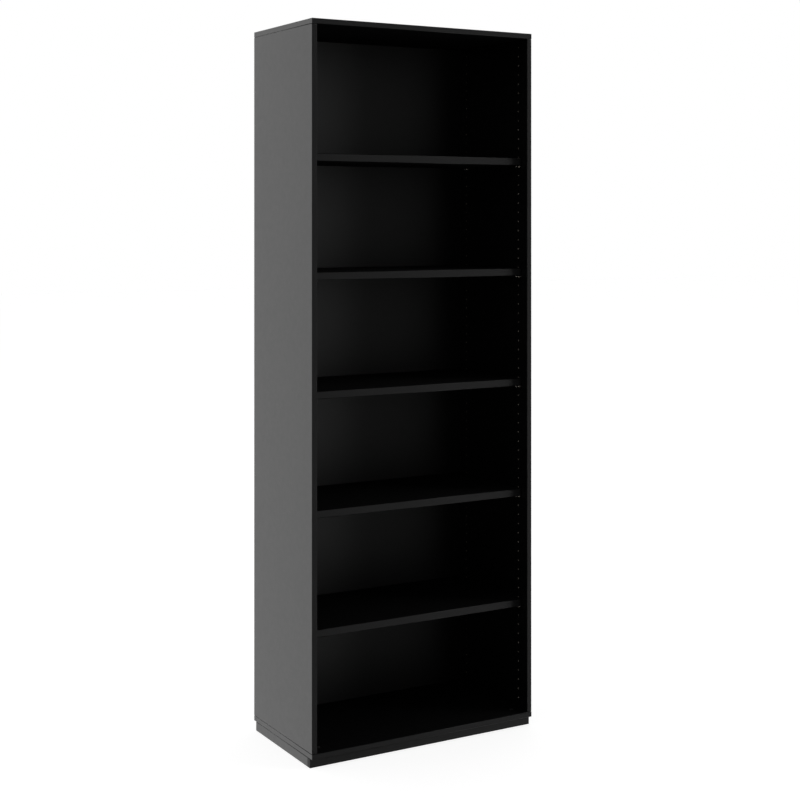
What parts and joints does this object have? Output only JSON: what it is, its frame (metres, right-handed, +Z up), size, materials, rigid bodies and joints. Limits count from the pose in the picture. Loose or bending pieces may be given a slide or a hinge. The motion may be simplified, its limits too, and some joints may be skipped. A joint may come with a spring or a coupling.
{
  "type": "shelf cabinet",
  "caption": "Tall open shelf cabinet with a closed back, loose shelves on pins in rows of system holes, a low recessed plinth and levelling feet turned through the floor panel.",
  "frame": {"origin": "on the floor, under the middle of the cabinet", "axes": "+X to the right seen from the front, +Y to the back, +Z up; the open front faces -Y"},
  "size_m": [0.85, 0.445, 2.4],
  "materials": {
    "black_melamine": "melamine-faced chipboard, deep black, fine matt pearl texture",
    "black_edge_band": "black edge band, satin",
    "nickel_plated_steel": "nickel-plated steel, satin",
    "zinc_plated_steel": "zinc-plated steel",
    "black_plastic": "black moulded plastic, fine matt grain"
  },
  "bodies": {
    "cabinet": {"top_panel": "black_melamine", "bottom_panel": "black_melamine", "left_side_panel": "black_melamine", "right_side_panel": "black_melamine", "back_panel": "black_melamine", "top_front_band": "black_edge_band", "bottom_front_band": "black_edge_band", "left_front_band": "black_edge_band", "right_front_band": "black_edge_band", "plinth_front_rail": "black_melamine", "plinth_rear_rail": "black_melamine", "plinth_left_rail": "black_melamine", "plinth_right_rail": "black_melamine", "shelf_1_front_left_pin": "nickel_plated_steel", "shelf_1_front_right_pin": "nickel_plated_steel", "shelf_1_rear_left_pin": "nickel_plated_steel", "shelf_1_rear_right_pin": "nickel_plated_steel", "shelf_2_front_left_pin": "nickel_plated_steel", "shelf_2_front_right_pin": "nickel_plated_steel", "shelf_2_rear_left_pin": "nickel_plated_steel", "shelf_2_rear_right_pin": "nickel_plated_steel", "shelf_3_front_left_pin": "nickel_plated_steel", "shelf_3_front_right_pin": "nickel_plated_steel", "shelf_3_rear_left_pin": "nickel_plated_steel", "shelf_3_rear_right_pin": "nickel_plated_steel", "shelf_4_front_left_pin": "nickel_plated_steel", "shelf_4_front_right_pin": "nickel_plated_steel", "shelf_4_rear_left_pin": "nickel_plated_steel", "shelf_4_rear_right_pin": "nickel_plated_steel", "shelf_5_front_left_pin": "nickel_plated_steel", "shelf_5_front_right_pin": "nickel_plated_steel", "shelf_5_rear_left_pin": "nickel_plated_steel", "shelf_5_rear_right_pin": "nickel_plated_steel", "front_left_leveller_sleeve": "zinc_plated_steel", "front_right_leveller_sleeve": "zinc_plated_steel", "rear_left_leveller_sleeve": "zinc_plated_steel", "rear_right_leveller_sleeve": "zinc_plated_steel", "front_left_access_cap": "black_plastic", "front_right_access_cap": "black_plastic", "rear_left_access_cap": "black_plastic", "rear_right_access_cap": "black_plastic"},
    "loose_shelf_1": {"shelf_1": "black_melamine", "shelf_1_front_band": "black_edge_band"},
    "loose_shelf_2": {"shelf_2": "black_melamine", "shelf_2_front_band": "black_edge_band"},
    "loose_shelf_3": {"shelf_3": "black_melamine", "shelf_3_front_band": "black_edge_band"},
    "loose_shelf_4": {"shelf_4": "black_melamine", "shelf_4_front_band": "black_edge_band"},
    "loose_shelf_5": {"shelf_5": "black_melamine", "shelf_5_front_band": "black_edge_band"},
    "front_left_foot": {"front_left_leveller_pad": "black_plastic"},
    "front_left_screw": {"front_left_leveller_spindle": "zinc_plated_steel"},
    "front_right_foot": {"front_right_leveller_pad": "black_plastic"},
    "front_right_screw": {"front_right_leveller_spindle": "zinc_plated_steel"},
    "rear_left_foot": {"rear_left_leveller_pad": "black_plastic"},
    "rear_left_screw": {"rear_left_leveller_spindle": "zinc_plated_steel"},
    "rear_right_foot": {"rear_right_leveller_pad": "black_plastic"},
    "rear_right_screw": {"rear_right_leveller_spindle": "zinc_plated_steel"}
  },
  "joints": [
    {"name": "shelf_1_lift", "type": "slide", "parent": "cabinet", "child": "loose_shelf_1", "axis": [0, 0, 1], "range_m": [0, 0.35]},
    {"name": "shelf_2_lift", "type": "slide", "parent": "cabinet", "child": "loose_shelf_2", "axis": [0, 0, 1], "range_m": [0, 0.35]},
    {"name": "shelf_3_lift", "type": "slide", "parent": "cabinet", "child": "loose_shelf_3", "axis": [0, 0, 1], "range_m": [0, 0.35]},
    {"name": "shelf_4_lift", "type": "slide", "parent": "cabinet", "child": "loose_shelf_4", "axis": [0, 0, 1], "range_m": [0, 0.35]},
    {"name": "shelf_5_lift", "type": "slide", "parent": "cabinet", "child": "loose_shelf_5", "axis": [0, 0, 1], "range_m": [0, 0.41]},
    {"name": "front_left_foot_drop", "type": "slide", "parent": "cabinet", "child": "front_left_foot", "axis": [0, 0, -1], "range_m": [0, 0.01]},
    {"name": "front_left_screw_turn", "type": "hinge", "parent": "front_left_foot", "child": "front_left_screw", "pos_m": [-0.377, -0.1685, 0], "axis": [0, 0, -1], "range_deg": [0, 2880]},
    {"name": "front_right_foot_drop", "type": "slide", "parent": "cabinet", "child": "front_right_foot", "axis": [0, 0, -1], "range_m": [0, 0.01]},
    {"name": "front_right_screw_turn", "type": "hinge", "parent": "front_right_foot", "child": "front_right_screw", "pos_m": [0.377, -0.1685, 0], "axis": [0, 0, -1], "range_deg": [0, 2880]},
    {"name": "rear_left_foot_drop", "type": "slide", "parent": "cabinet", "child": "rear_left_foot", "axis": [0, 0, -1], "range_m": [0, 0.01]},
    {"name": "rear_left_screw_turn", "type": "hinge", "parent": "rear_left_foot", "child": "rear_left_screw", "pos_m": [-0.377, 0.1685, 0], "axis": [0, 0, -1], "range_deg": [0, 2880]},
    {"name": "rear_right_foot_drop", "type": "slide", "parent": "cabinet", "child": "rear_right_foot", "axis": [0, 0, -1], "range_m": [0, 0.01]},
    {"name": "rear_right_screw_turn", "type": "hinge", "parent": "rear_right_foot", "child": "rear_right_screw", "pos_m": [0.377, 0.1685, 0], "axis": [0, 0, -1], "range_deg": [0, 2880]}
  ],
  "couplings": [
    {"joint": "front_left_foot_drop", "follows": "front_left_screw_turn", "m_per_rad": 0.00019894},
    {"joint": "front_right_foot_drop", "follows": "front_right_screw_turn", "m_per_rad": 0.00019894},
    {"joint": "rear_left_foot_drop", "follows": "rear_left_screw_turn", "m_per_rad": 0.00019894},
    {"joint": "rear_right_foot_drop", "follows": "rear_right_screw_turn", "m_per_rad": 0.00019894}
  ]
}
